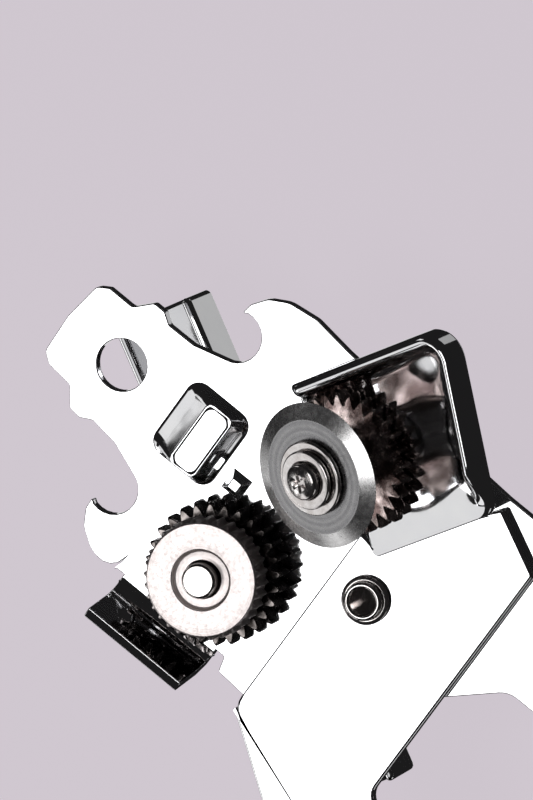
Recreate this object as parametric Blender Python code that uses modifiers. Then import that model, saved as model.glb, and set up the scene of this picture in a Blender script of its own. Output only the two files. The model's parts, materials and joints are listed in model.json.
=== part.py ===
"""A manual can opener, built piece by piece.

Units are metres and +Z is up. The plates lie flat, with their bright fronts up and the crank key
below them. The origin is on the pivot of the two plates, at the flat back face of the pivot rivet.
+Y points from the rear handle to the hanging hole. The handles are modelled open; the front plate
closes by turning about +Z.
"""

import math

import bmesh
import bpy
from mathutils import Matrix, Vector

MM = 0.001

# ---- gaps and sheet ----
GAP = 0.3 * MM                # between pieces that touch or turn on each other
SHEET = 1.8 * MM              # both plates
CHANNEL_SHEET = 1.5 * MM      # crank key and handle channels

# ---- drive train ----
DRIVE_X = -11.05 * MM         # drive shaft from the pivot
DRIVE_Y = 20.18 * MM
GEAR_TEETH = 28
GEAR_TOOTH = 1.7 * MM         # tooth height of both gears
GEAR_MESH = 0.8 * MM          # how far the teeth reach into each other when the handles are closed
DRIVE_GEAR_T = 4.0 * MM
WHEEL_TEETH = 32
WHEEL_TIP_R = 9.1 * MM
WHEEL_TOOTH = 0.8 * MM
WHEEL_T = 4.4 * MM
WHEEL_RECESS_R = 4.4 * MM
WHEEL_RECESS = 0.8 * MM
SHAFT_R = 2.65 * MM
SHAFT_NOSE = 1.3 * MM         # shaft end proud of the feed wheel
BUSH_WALL = 1.3 * MM
BUSH_FLANGE_T = 0.5 * MM
BUSH_FLANGE_R = 5.6 * MM
SPACER_T = 0.5 * MM
SPACER_R = 5.4 * MM

# ---- cutter, on an axle that leans towards the drive shaft when closed ----
OPEN_ANGLE = math.radians(29)
PIVOT_TO_CUTTER = 20.6 * MM
RIM_OVERLAP = 2.4 * MM        # cutter edge over the feed wheel when closed
TILT = math.radians(24.1)
CUTTER_R = 11.0 * MM
CUTTER_BEVEL_W = 2.35 * MM    # from the edge to the flat front face
CUTTER_BEVEL_H = 0.9 * MM
CUTTER_BACK_W = 0.8 * MM      # short bevel behind the edge
CUTTER_T = 1.2 * MM
EDGE_OVER_WHEEL = 0.4 * MM    # cutter's near edge in front of the feed wheel's face
CUTTER_GEAR_BACK = 7.6 * MM   # middle of the cutter gear behind the cutter's edge
CUTTER_GEAR_T = 2.4 * MM
AXLE_R = 2.6 * MM
AXLE_HEAD_R = 4.6 * MM
AXLE_HEAD_T = 1.2 * MM
SLEEVE_WALL = 1.8 * MM
HUB_FLANGE_R = 5.65 * MM
HUB_CAP_R = 4.45 * MM
HUB_DISC_T = 0.7 * MM
SCREW_R = 2.75 * MM
SCREW_T = 1.1 * MM
SCREW_DOME = 0.7 * MM
SCREW_SLOT = 0.6 * MM

# ---- tilted tray of the front plate, around the cutter axle: X uphill, Z along the axle ----
TRAY_RIM = 2.4 * MM           # rim above the floor
TRAY_RIM_W = 2.2 * MM
TRAY_LEFT = -6.6 * MM
TRAY_RIGHT = 27.5 * MM
TRAY_GEAR_GAP = 0.5 * MM      # from the cutter gear's tips to the upper rim
TRAY_BOTTOM = -14.6 * MM
TRAY_TAPER = 7.0 * MM         # the right side leans in by this much at the bottom
TRAY_CORNER_R = 4.0 * MM
TRAY_CLEARANCE = 0.4 * MM     # floor behind the cutter gear
GUSSET_LEAN = Vector((0.33, -0.176, 1.0))

# ---- pivot rivet ----
PIVOT_R = 2.9 * MM
PIVOT_BORE_R = 2.0 * MM
PIVOT_FLANGE_R = 3.7 * MM
PIVOT_HEAD_R = 5.0 * MM
PIVOT_HEAD_T = 1.2 * MM
PIVOT_NOSE = 1.9 * MM
WASHER_T = 0.6 * MM
WASHER_R = 4.6 * MM

# ---- rear plate, measured from the drive shaft ----
HOLE_X = 14.5 * MM
HOLE_Y = 30.4 * MM
HOLE_R = 3.95 * MM
HEAD_LEAN = math.radians(-3)
TANG_LEFT = 13.2 * MM
TANG_RIGHT = 36.3 * MM
TANG_END = -72.0 * MM
BOSS_ANGLE = math.radians(46.4)
BOSS_FROM_GEAR = 9.55 * MM    # from the gear's tips to the boss's middle
BOSS_SIZE = (12.2 * MM, 10.6 * MM)
BOSS_TOP = (11.2 * MM, 4.8 * MM)
BOSS_TOP_SHIFT = -1.1 * MM
BOSS_H = 2.7 * MM
BOSS_CORNER_R = 2.0 * MM
LUG_ANGLE = math.radians(27)
LUG_FROM_GEAR = 2.1 * MM
LUG_SIZE = 3.3 * MM
LUG_H = 1.3 * MM
TAB_X = -12.0 * MM            # fold line of the can guide tab
TAB_TOP = 11.6 * MM
TAB_BOTTOM = -6.2 * MM
TAB_RISE = 7.8 * MM
TAB_SPREAD = 3.6 * MM
DIMPLE_R = 1.5 * MM

# ---- crank key ----
KEY_ANGLE = math.radians(60.9)
KEY_HALF = 39.0 * MM
KEY_W = 13.0 * MM
KEY_FLANGE = 10.0 * MM
KEY_CORNER_R = 0.8 * MM
KEY_BACK = 24.0 * MM          # behind the front face of the rear plate
COLLAR_R = 4.6 * MM
KEY_RIVET_T = 1.0 * MM

# ---- handles ----
HANDLE_W = 17.0 * MM
HANDLE_D = 8.0 * MM
HANDLE_L = 108.0 * MM
GRIP_START = 40.0 * MM        # grip's mouth from the start of the channel
GRIP_WALL = 2.0 * MM
GRIP_END = 4.0 * MM
RIVET_R = 1.9 * MM
RIVET_HEAD_R = 3.2 * MM
RIVET_HEAD_T = 0.8 * MM
REAR_RIVETS = (7 * MM, 15 * MM)                   # from the start of the rear channel
FRONT_RIVETS = ((23 * MM, 3.5 * MM), (31 * MM, 0))    # along and aside on the front arm
REAR_HANDLE_Y = -52.0 * MM    # start of the rear channel, from the drive shaft
ARM_W = 20.8 * MM
ARM_ANGLE = math.radians(234.1)
ARM_ROOT = Vector((-19.9 * MM, -2.6 * MM, 0))     # on the middle line of the front arm, from the pivot
ARM_L = 52.0 * MM
ARM_INNER = 19.5 * MM         # where the arm's inner side leaves the cross band
FRONT_HANDLE_START = 17.5 * MM

# ---- cross band of the front plate, from the pivot ----
BAND_TOP = 6.5 * MM
BAND_BOTTOM = -17.7 * MM
BAND_LEFT = -26.4 * MM
BAND_RIGHT = 19.0 * MM
WALL_LEFT = (7.8 * MM, 3.6 * MM)      # foot of the wall under the tray
WALL_RIGHT = (23.9 * MM, -8.2 * MM)
WALL_INSET = 0.2 * MM                 # wall's outer face from the tray's lower edge

# ---- heights ----
REAR_BACK = PIVOT_HEAD_T + GAP + WASHER_T + GAP
REAR_FRONT = REAR_BACK + SHEET
FRONT_BACK = REAR_FRONT + GAP
FRONT_FACE = FRONT_BACK + SHEET
DRIVE_GEAR_Z = REAR_FRONT + GAP + BUSH_FLANGE_T + GAP
SPACER_Z = DRIVE_GEAR_Z + DRIVE_GEAR_T + GAP
WHEEL_Z = SPACER_Z + SPACER_T + GAP
WHEEL_FACE = WHEEL_Z + WHEEL_T
KEY_Z = REAR_FRONT - KEY_BACK

# ---- heights along the cutter's axle, from the plane of the cutting edge ----
CUTTER_FACE = CUTTER_BEVEL_H
CUTTER_BACK = CUTTER_FACE - CUTTER_T
CUTTER_GEAR_LOW = -CUTTER_GEAR_BACK - CUTTER_GEAR_T / 2
CUTTER_GEAR_TOP = CUTTER_GEAR_LOW + CUTTER_GEAR_T
FLANGE_LOW = CUTTER_FACE + GAP
CAP_LOW = FLANGE_LOW + HUB_DISC_T + GAP
SCREW_LOW = CAP_LOW + HUB_DISC_T + GAP
TRAY_FLOOR = CUTTER_GEAR_LOW - TRAY_CLEARANCE

# ---- cutter and gears when the handles are closed ----
CLOSED_REACH = WHEEL_TIP_R + CUTTER_R * math.cos(TILT) - RIM_OVERLAP
GEAR_TIP_R = (CLOSED_REACH + CUTTER_GEAR_BACK * math.sin(TILT) + GEAR_MESH) / (1 + math.cos(TILT))
TRAY_TOP = GEAR_TIP_R + TRAY_GEAR_GAP + TRAY_RIM_W

DRIVE = Vector((DRIVE_X, DRIVE_Y, 0))
ROUND = 32                    # steps round a turned piece


# ---- scene ----

def clear_scene():
    for obj in list(bpy.data.objects):
        bpy.data.objects.remove(obj, do_unlink=True)


def collection(name):
    group = bpy.data.collections.new(name)
    bpy.context.scene.collection.children.link(group)
    return group


clear_scene()
PARTS = collection("can_opener")
CUTTERS = collection("cutters")


def material(name, colour, roughness, metallic=1.0):
    mat = bpy.data.materials.new(name)
    mat.use_nodes = True
    shader = mat.node_tree.nodes["Principled BSDF"]
    shader.inputs["Base Color"].default_value = (*colour, 1.0)
    shader.inputs["Roughness"].default_value = roughness
    shader.inputs["Metallic"].default_value = metallic
    return mat


CHROME = material("chrome", (0.86, 0.86, 0.87), 0.06)
WHEEL_STEEL = material("wheel_steel", (0.78, 0.74, 0.72), 0.28)
GEAR_STEEL = material("gear_steel", (0.30, 0.26, 0.24), 0.22)
CUTTER_STEEL = material("cutter_steel", (0.50, 0.50, 0.51), 0.24)
BRIGHT_STEEL = material("bright_steel", (0.66, 0.63, 0.61), 0.16)
GRIP_PLASTIC = material("grip_plastic", (0.03, 0.03, 0.032), 0.5, 0.0)


def place(obj, group=PARTS, mat=None, parent=None):
    group.objects.link(obj)
    if mat:
        obj.data.materials.append(mat)
    if parent:
        obj.parent = parent
    return obj


def axis_empty(name, location, rotation=None, parent=None):
    """An empty on a joint's axis; the pieces that turn about it are its children."""
    empty = bpy.data.objects.new(name, None)
    PARTS.objects.link(empty)
    empty.matrix_basis = Matrix.Translation(location) @ (rotation or Matrix.Identity(4))
    empty.parent = parent
    return empty


# ---- shapes ----

def arc(cx, cy, radius, start, end, steps):
    """Points of an arc, from one angle in degrees to another."""
    points = []
    for i in range(steps + 1):
        a = math.radians(start + (end - start) * i / steps)
        points.append((cx + radius * math.cos(a), cy + radius * math.sin(a)))
    return points


def rounded(corners, steps=5):
    """Turns (x, y, radius) corners into a closed outline with round corners."""
    outline = []
    count = len(corners)
    for i, (x, y, radius) in enumerate(corners):
        here = Vector((x, y))
        if radius <= 0:
            outline.append((x, y))
            continue
        before = (Vector(corners[i - 1][:2]) - here).normalized()
        after = (Vector(corners[(i + 1) % count][:2]) - here).normalized()
        half = before.angle(after) / 2
        setback = radius / math.tan(half)
        middle = here + (before + after).normalized() * (radius / math.sin(half))
        first = here + before * setback - middle
        last = here + after * setback - middle
        turn = first.angle_signed(last)
        for k in range(steps + 1):
            spoke = Matrix.Rotation(-turn * k / steps, 2) @ first
            outline.append(tuple(middle + spoke))
    return outline


def mesh_from_curve(curve_obj, name):
    """The evaluated curve as a mesh with its caps welded; the curve is removed."""
    bpy.context.view_layer.update()
    evaluated = curve_obj.evaluated_get(bpy.context.evaluated_depsgraph_get())
    mesh = bpy.data.meshes.new_from_object(evaluated)
    mesh.name = name
    matrix = curve_obj.matrix_world.copy()
    bpy.data.objects.remove(curve_obj, do_unlink=True)
    soup = bmesh.new()
    soup.from_mesh(mesh)
    bmesh.ops.remove_doubles(soup, verts=soup.verts, dist=0.00001)
    bmesh.ops.recalc_face_normals(soup, faces=soup.faces)
    soup.to_mesh(mesh)
    soup.free()
    obj = bpy.data.objects.new(name, mesh)
    obj.matrix_world = matrix
    return obj


def sheet(name, outline, bottom, top):
    """A flat outline with a thickness, from one height to another."""
    curve = bpy.data.curves.new(name, "CURVE")
    curve.dimensions = "2D"
    curve.fill_mode = "BOTH"
    curve.extrude = (top - bottom) / 2
    spline = curve.splines.new("POLY")
    spline.points.add(len(outline) - 1)
    for point, (x, y) in zip(spline.points, outline):
        point.co = (x, y, 0, 1)
    spline.use_cyclic_u = True
    obj = bpy.data.objects.new(name, curve)
    bpy.context.scene.collection.objects.link(obj)
    made = mesh_from_curve(obj, name)
    made.data.transform(Matrix.Translation((0, 0, (top + bottom) / 2)))
    return made


def turned(name, profile, steps=ROUND):
    """A turned piece: the (radius, height) profile runs down its outer side, from top to bottom."""
    mesh = bpy.data.meshes.new(name)
    edges = [(i, i + 1) for i in range(len(profile) - 1)]
    if profile[0][0] > 0:
        edges.append((len(profile) - 1, 0))
    mesh.from_pydata([(r, 0, z) for r, z in profile], edges, [])
    obj = bpy.data.objects.new(name, mesh)
    screw = obj.modifiers.new("turn", "SCREW")
    screw.steps = steps
    screw.render_steps = steps
    screw.use_merge_vertices = True
    screw.merge_threshold = 0.00001
    return obj


def disc(name, radius, bottom, top):
    return turned(name, [(0, top), (radius, top), (radius, bottom), (0, bottom)])


def ring(name, inner, outer, bottom, top, steps=ROUND):
    return turned(name, [(inner, top), (outer, top), (outer, bottom), (inner, bottom)], steps)


def box(name, low, high):
    mesh = bpy.data.meshes.new(name)
    soup = bmesh.new()
    size = Vector(high) - Vector(low)
    centre = (Vector(high) + Vector(low)) / 2
    bmesh.ops.create_cube(soup, size=1.0, matrix=Matrix.Translation(centre) @ Matrix.Diagonal((*size, 1.0)))
    soup.to_mesh(mesh)
    soup.free()
    return bpy.data.objects.new(name, mesh)


def hull(name, points):
    """The convex solid around a few points, for wedges between unlike sections."""
    mesh = bpy.data.meshes.new(name)
    soup = bmesh.new()
    for point in points:
        soup.verts.new(point)
    bmesh.ops.convex_hull(soup, input=soup.verts)
    bmesh.ops.recalc_face_normals(soup, faces=soup.faces)
    soup.to_mesh(mesh)
    soup.free()
    return bpy.data.objects.new(name, mesh)


def combine(obj, tool, operation):
    """Adds or cuts a tool with an exact Boolean; the tool is kept as a wire in the cutters' collection."""
    if tool.name not in CUTTERS.objects:
        CUTTERS.objects.link(tool)
    tool.hide_render = True
    tool.display_type = "WIRE"
    tool.parent = obj.parent
    step = obj.modifiers.new(tool.name, "BOOLEAN")
    step.operation = operation
    step.solver = "EXACT"
    step.object = tool


def cut(obj, tool):
    combine(obj, tool, "DIFFERENCE")


def add(obj, tool):
    combine(obj, tool, "UNION")


def moved(obj, x, y):
    obj.location = (x, y, 0)
    return obj


def toothed(teeth, tip_radius, tooth, fullness, points_per_tooth=6):
    """A gear outline with round lobes: fullness above 1 widens the teeth, below 1 widens the gaps."""
    outline = []
    total = teeth * points_per_tooth
    for i in range(total):
        wave = 0.5 + 0.5 * math.cos(2 * math.pi * i / points_per_tooth)
        radius = tip_radius - tooth + tooth * wave ** (1 / fullness)
        a = 2 * math.pi * i / total
        outline.append((radius * math.cos(a), radius * math.sin(a)))
    return outline


def spun(outline, angle):
    c, s = math.cos(angle), math.sin(angle)
    return [(x * c - y * s, x * s + y * c) for x, y in outline]


# ---- joint axes ----

drive_axis = axis_empty("drive_axis", DRIVE)
pivot_axis = axis_empty("pivot_axis", Vector((0, 0, 0)))


def closed_cutter():
    """The cutter's place when the handles are closed: the near edge overlaps the feed wheel's rim."""
    base = DRIVE.length
    along = (CLOSED_REACH ** 2 - PIVOT_TO_CUTTER ** 2 + base ** 2) / (2 * base)
    aside = math.sqrt(CLOSED_REACH ** 2 - along ** 2)
    to_pivot = -DRIVE.normalized()
    across = Vector((-to_pivot.y, to_pivot.x, 0))
    spot = DRIVE + to_pivot * along + across * aside
    spot.z = WHEEL_FACE + EDGE_OVER_WHEEL + CUTTER_R * math.sin(TILT)
    return spot


def cutter_frame():
    spot = closed_cutter()
    uphill = math.atan2(spot.y - DRIVE.y, spot.x - DRIVE.x)
    closed = Matrix.Translation(spot) @ Matrix.Rotation(uphill, 4, "Z") @ Matrix.Rotation(-TILT, 4, "Y")
    return Matrix.Rotation(-OPEN_ANGLE, 4, "Z") @ closed


CUTTER_FRAME = cutter_frame()
cutter_axis = axis_empty("cutter_axis", CUTTER_FRAME.to_translation(),
                         CUTTER_FRAME.to_3x3().to_4x4(), pivot_axis)


# ---- rear plate ----

def head_point(x, y):
    """From the head's own axes, centred on the hanging hole, to the drive shaft's."""
    c, s = math.cos(HEAD_LEAN), math.sin(HEAD_LEAN)
    return (HOLE_X + x * c - y * s, HOLE_Y + x * s + y * c)


def head_corners(side):
    """Corners down one side of the head: lobe, ears, neck, bottle hook and its outer side."""
    lobe = [(6.4, 10.3, 1.2), (7.6, 8.6, 0.6), (7.8, 4.2, 0.9), (10.5, 2.0, 0.8),
            (10.6, 0.0, 0.8), (9.5, -1.8, 0.8), (9.8, -6.5, 2.0)]
    bay = [(x, y, 0) for x, y in arc(15.25, -10.65, 3.9, 192, 372, 12)]
    hook = [(18.5, -9.1, 0.2), (20.4, -9.3, 1.5), (22.8, -10.8, 2.5), (24.6, -13.6, 4.0), (25.5, -18.4, 3.0)]
    corners = []
    for x, y, radius in lobe + bay + hook:
        corners.append((*head_point(side * x * MM, y * MM), radius * MM))
    return corners


def rear_outline():
    crown = (*head_point(0, 10.9 * MM), 0)
    right = head_corners(1)
    left = head_corners(-1)
    shank = [
        (38.2 * MM, 4.0 * MM, 4 * MM),
        (TANG_RIGHT, -28.0 * MM, 20 * MM),
        (TANG_RIGHT, TANG_END, 3 * MM),
        (TANG_LEFT, TANG_END, 3 * MM),
        (TANG_LEFT, -45.0 * MM, 4 * MM),
        (-13.6 * MM, -17.0 * MM, 4 * MM),
        (-13.0 * MM, TAB_BOTTOM - 2.2 * MM, 0.4 * MM),
        (TAB_X + 1.4 * MM, TAB_BOTTOM - 1.6 * MM, 0.5 * MM),
        (TAB_X + 1.4 * MM, TAB_BOTTOM, 0),
        (TAB_X, TAB_BOTTOM, 0),
        (TAB_X, TAB_TOP, 0),
        (TAB_X + 1.4 * MM, TAB_TOP, 0),
        (TAB_X + 1.4 * MM, TAB_TOP + 1.6 * MM, 0.5 * MM),
    ]
    return rounded([crown] + right + shank + left[::-1], 4)


def beyond_gear(distance, angle):
    """A place on the rear plate, this far past the tips of the drive gear's teeth."""
    reach = GEAR_TIP_R + distance
    return reach * math.cos(angle), reach * math.sin(angle)


def boss_solid():
    """The can-rim rest: a frustum from a rounded base to a narrow ridge."""
    cx, cy = beyond_gear(BOSS_FROM_GEAR, BOSS_ANGLE)
    base_x, base_y = BOSS_SIZE[0] / 2, BOSS_SIZE[1] / 2
    top_x, top_y = BOSS_TOP[0] / 2, BOSS_TOP[1] / 2
    points = []
    base = rounded([(base_x, base_y, BOSS_CORNER_R), (-base_x, base_y, BOSS_CORNER_R),
                    (-base_x, -base_y, BOSS_CORNER_R), (base_x, -base_y, BOSS_CORNER_R)], 3)
    ridge = rounded([(top_x, top_y, BOSS_CORNER_R / 2), (-top_x, top_y, BOSS_CORNER_R / 2),
                     (-top_x, -top_y, BOSS_CORNER_R / 2), (top_x, -top_y, BOSS_CORNER_R / 2)], 2)
    for x, y in base:
        points.append((cx + x, cy + y, REAR_FRONT - SHEET / 2))
        points.append((cx + x, cy + y, REAR_FRONT))
    for x, y in ridge:
        points.append((cx + x, cy + BOSS_TOP_SHIFT + y, REAR_FRONT + BOSS_H))
    return hull("boss_form", points)


def lug_solid():
    cx, cy = beyond_gear(LUG_FROM_GEAR, LUG_ANGLE)
    half = LUG_SIZE / 2
    points = []
    for sx in (-1, 1):
        for sy in (-1, 1):
            points.append((cx + sx * half, cy + sy * half, REAR_FRONT - SHEET / 2))
            points.append((cx + sx * half, cy + sy * half, REAR_FRONT))
            points.append((cx + sx * half * 0.5, cy + sy * half * 0.5, REAR_FRONT + LUG_H))
    return hull("lug_form", points)


def tab_solid():
    """The can guide tab: a folded strip, extruded along the fold line."""
    inner = [(TAB_X + 1.0 * MM, REAR_FRONT), (TAB_X - 0.9 * MM, REAR_FRONT + 0.5 * MM),
             (TAB_X - 1.9 * MM, REAR_FRONT + 1.6 * MM),
             (TAB_X - TAB_SPREAD + 0.2 * MM, REAR_FRONT + TAB_RISE)]
    outer = [(TAB_X - TAB_SPREAD - 1.4 * MM, REAR_FRONT + TAB_RISE - 0.4 * MM),
             (TAB_X - 3.5 * MM, REAR_FRONT + 0.9 * MM), (TAB_X - 1.9 * MM, REAR_BACK + 0.4 * MM),
             (TAB_X + 1.0 * MM, REAR_BACK)]
    margin = 0.05 * MM
    strip = sheet("tab_form", inner + outer, margin, TAB_TOP - TAB_BOTTOM - margin)
    # the outline's X stays X, its Y becomes Z, and the extrusion runs down Y
    turn = Matrix(((1, 0, 0, 0), (0, 0, -1, TAB_TOP), (0, 1, 0, 0), (0, 0, 0, 1)))
    strip.data.transform(turn)
    return strip


def rear_plate():
    plate = sheet("rear_plate", rear_outline(), REAR_BACK, REAR_FRONT)
    place(plate, mat=CHROME, parent=drive_axis)
    add(plate, tab_solid())
    add(plate, boss_solid())
    add(plate, lug_solid())
    dimple = turned("dimple_form", [(0, DIMPLE_R), (DIMPLE_R * 0.6, DIMPLE_R * 0.8), (DIMPLE_R, 0),
                                    (DIMPLE_R, -0.6 * MM), (0, -0.6 * MM)], 16)
    slope = math.atan2(TAB_SPREAD - 2.0 * MM, TAB_RISE - 1.6 * MM)
    dimple.matrix_basis = (Matrix.Translation((TAB_X - 2.2 * MM, TAB_TOP - 4.4 * MM, REAR_FRONT + 3.2 * MM))
                           @ Matrix.Rotation(math.pi / 2 - slope, 4, "Y"))
    add(plate, dimple)
    through = SHEET + 2 * MM
    hole = disc("hanging_hole", HOLE_R, REAR_BACK - MM, REAR_BACK - MM + through)
    cut(plate, moved(hole, HOLE_X, HOLE_Y))
    seat = disc("bush_seat", SHAFT_R + 2 * GAP + BUSH_WALL, REAR_BACK - MM, REAR_BACK - MM + through)
    cut(plate, seat)
    pivot_hole = disc("rear_pivot_hole", PIVOT_R + GAP, REAR_BACK - MM, REAR_BACK - MM + through)
    cut(plate, moved(pivot_hole, -DRIVE_X, -DRIVE_Y))
    for i, (x, y) in enumerate(rear_rivet_places()):
        seat = disc(f"rear_rivet_hole_{i}", RIVET_R + GAP, REAR_BACK - MM, REAR_BACK - MM + through)
        cut(plate, moved(seat, x, y))


def rear_rivet_places():
    middle = (TANG_LEFT + TANG_RIGHT) / 2
    return [(middle, REAR_HANDLE_Y - along) for along in REAR_RIVETS]


# ---- drive train ----

def shaft_bush():
    inner = SHAFT_R + GAP
    outer = inner + BUSH_WALL
    flange_top = REAR_FRONT + GAP + BUSH_FLANGE_T
    bush = turned("shaft_bush", [
        (inner, flange_top), (BUSH_FLANGE_R, flange_top), (BUSH_FLANGE_R, REAR_FRONT + GAP),
        (outer, REAR_FRONT + GAP), (outer, REAR_BACK - GAP), (BUSH_FLANGE_R, REAR_BACK - GAP),
        (BUSH_FLANGE_R, REAR_BACK - GAP - BUSH_FLANGE_T), (inner, REAR_BACK - GAP - BUSH_FLANGE_T)])
    place(bush, mat=BRIGHT_STEEL, parent=drive_axis)


def drive_shaft():
    top = WHEEL_FACE + SHAFT_NOSE
    edge = 0.5 * MM
    head = KEY_Z - GAP
    shaft = turned("drive_shaft", [
        (0, top), (SHAFT_R - edge, top), (SHAFT_R, top - edge), (SHAFT_R, head),
        (SHAFT_R + 1.6 * MM, head), (SHAFT_R + 1.2 * MM, head - KEY_RIVET_T), (0, head - KEY_RIVET_T)])
    place(shaft, mat=BRIGHT_STEEL, parent=drive_axis)


def drive_gear():
    gear = sheet("drive_gear", toothed(GEAR_TEETH, GEAR_TIP_R, GEAR_TOOTH, 1.0),
                 DRIVE_GEAR_Z, DRIVE_GEAR_Z + DRIVE_GEAR_T)
    place(gear, mat=GEAR_STEEL, parent=drive_axis)
    cut(gear, disc("drive_gear_bore", SHAFT_R + GAP, DRIVE_GEAR_Z - MM, WHEEL_Z))


def spacer_washer():
    washer = ring("spacer_washer", SHAFT_R + GAP, SPACER_R, SPACER_Z, SPACER_Z + SPACER_T)
    place(washer, mat=BRIGHT_STEEL, parent=drive_axis)


def feed_wheel():
    wheel = sheet("feed_wheel", toothed(WHEEL_TEETH, WHEEL_TIP_R, WHEEL_TOOTH, 1.3, 4), WHEEL_Z, WHEEL_FACE)
    place(wheel, mat=WHEEL_STEEL, parent=drive_axis)
    cut(wheel, disc("wheel_bore", SHAFT_R + GAP, WHEEL_Z - MM, WHEEL_FACE + MM))
    cut(wheel, disc("wheel_recess", WHEEL_RECESS_R, WHEEL_FACE - WHEEL_RECESS, WHEEL_FACE + MM))


def thrust_washer():
    top = REAR_BACK - 2 * GAP - BUSH_FLANGE_T
    washer = ring("thrust_washer", SHAFT_R + GAP, SPACER_R, top - WASHER_T, top)
    place(washer, mat=BRIGHT_STEEL, parent=drive_axis)


def crank_collar():
    top = REAR_BACK - 3 * GAP - BUSH_FLANGE_T - WASHER_T
    collar = ring("crank_collar", SHAFT_R + GAP, COLLAR_R, KEY_Z + CHANNEL_SHEET + GAP, top)
    place(collar, mat=BRIGHT_STEEL, parent=drive_axis)


def crank_key():
    """A folded channel, its open side towards the plate."""
    half = KEY_W / 2
    outline = rounded([(KEY_HALF, -half, KEY_CORNER_R), (KEY_HALF, half, KEY_CORNER_R),
                       (-KEY_HALF, half, KEY_CORNER_R), (-KEY_HALF, -half, KEY_CORNER_R)], 3)
    key = sheet("crank_key", outline, KEY_Z, KEY_Z + KEY_FLANGE)
    key.rotation_euler = (0, 0, KEY_ANGLE)
    place(key, mat=CHROME, parent=drive_axis)
    hollow = box("key_hollow", (-2 * KEY_HALF, -half + CHANNEL_SHEET, KEY_Z + CHANNEL_SHEET),
                 (2 * KEY_HALF, half - CHANNEL_SHEET, KEY_Z + 2 * KEY_FLANGE))
    hollow.rotation_euler = (0, 0, KEY_ANGLE)
    cut(key, hollow)
    cut(key, disc("key_bore", SHAFT_R + GAP, KEY_Z - MM, KEY_Z + CHANNEL_SHEET + MM))


# ---- pivot ----

def pivot_rivet():
    top = FRONT_FACE + GAP + PIVOT_NOSE
    flange = FRONT_FACE + GAP
    rivet = turned("pivot_rivet", [
        (0, PIVOT_HEAD_T + GAP), (PIVOT_BORE_R, PIVOT_HEAD_T + GAP), (PIVOT_BORE_R, top),
        (PIVOT_BORE_R + 0.5 * MM, top), (PIVOT_R, top - 0.4 * MM), (PIVOT_R, flange + 0.6 * MM),
        (PIVOT_FLANGE_R, flange + 0.5 * MM), (PIVOT_FLANGE_R, flange), (PIVOT_R, flange),
        (PIVOT_R, PIVOT_HEAD_T), (PIVOT_HEAD_R - 0.4 * MM, PIVOT_HEAD_T),
        (PIVOT_HEAD_R, PIVOT_HEAD_T - 0.4 * MM), (PIVOT_HEAD_R, 0), (0, 0)])
    place(rivet, mat=BRIGHT_STEEL, parent=pivot_axis)


def pivot_washer():
    low = PIVOT_HEAD_T + GAP
    washer = ring("pivot_washer", PIVOT_R + GAP, WASHER_R, low, low + WASHER_T)
    place(washer, mat=BRIGHT_STEEL, parent=pivot_axis)


# ---- front plate ----

def arm_point(along, aside):
    """A point of the front arm: along it from its root, and to the left of that direction."""
    run = Vector((math.cos(ARM_ANGLE), math.sin(ARM_ANGLE), 0))
    left = Vector((-run.y, run.x, 0))
    return ARM_ROOT + run * along + left * aside


def tray_outline(inset=0.0):
    """The tray seen along the axle; the inset leaves the rim on its upper and right sides only."""
    right = TRAY_RIGHT - inset
    top = TRAY_TOP - inset
    left = TRAY_LEFT - (5 * MM if inset else 0)
    bottom = TRAY_BOTTOM - (5 * MM if inset else 0)
    radius = TRAY_CORNER_R - (inset / 2)
    lean = TRAY_TAPER * (top - bottom) / (TRAY_TOP - TRAY_BOTTOM)
    return rounded([(left, top, 3 * MM), (left + 2 * MM, bottom, 1 * MM),
                    (right - lean, bottom, 2.5 * MM), (right, top, radius)], 5)


def gusset_points():
    """The wall under the tray's lower side, down to the flat sheet; its outer end leans inwards."""
    left = TRAY_LEFT + TRAY_RIM_W
    right = TRAY_RIGHT - TRAY_TAPER - MM
    outer = TRAY_BOTTOM + WALL_INSET
    points = []
    for x, lean in ((left, Vector((0, 0, 1))), (right, GUSSET_LEAN)):
        for y in (outer, outer + SHEET):
            top = CUTTER_FRAME @ Vector((x, y, TRAY_FLOOR - SHEET / 2))
            drop = top.z - FRONT_BACK - GAP
            points.append(top)
            points.append(top - lean * drop)
    return points


def front_plate():
    flat = front_flat_outline()
    plate = sheet("front_plate", flat, FRONT_BACK, FRONT_FACE)
    place(plate, mat=CHROME, parent=pivot_axis)
    tray = sheet("tray_form", tray_outline(), TRAY_FLOOR - SHEET, TRAY_FLOOR + TRAY_RIM)
    tray.matrix_basis = CUTTER_FRAME
    pocket = sheet("tray_pocket", tray_outline(TRAY_RIM_W), TRAY_FLOOR, TRAY_FLOOR + 2 * TRAY_RIM)
    pocket.matrix_basis = CUTTER_FRAME
    add(plate, hull("gusset_form", gusset_points()))
    add(plate, tray)
    cut(plate, pocket)
    axle_hole = disc("axle_hole", AXLE_R + GAP, TRAY_FLOOR - SHEET - MM, TRAY_FLOOR + MM)
    axle_hole.matrix_basis = CUTTER_FRAME
    cut(plate, axle_hole)
    cut(plate, disc("front_pivot_hole", PIVOT_R + GAP, FRONT_BACK - MM, FRONT_FACE + MM))
    for i, spot in enumerate(front_rivet_places()):
        seat = disc(f"front_rivet_hole_{i}", RIVET_R + GAP, FRONT_BACK - MM, FRONT_FACE + MM)
        cut(plate, moved(seat, spot.x, spot.y))


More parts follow.
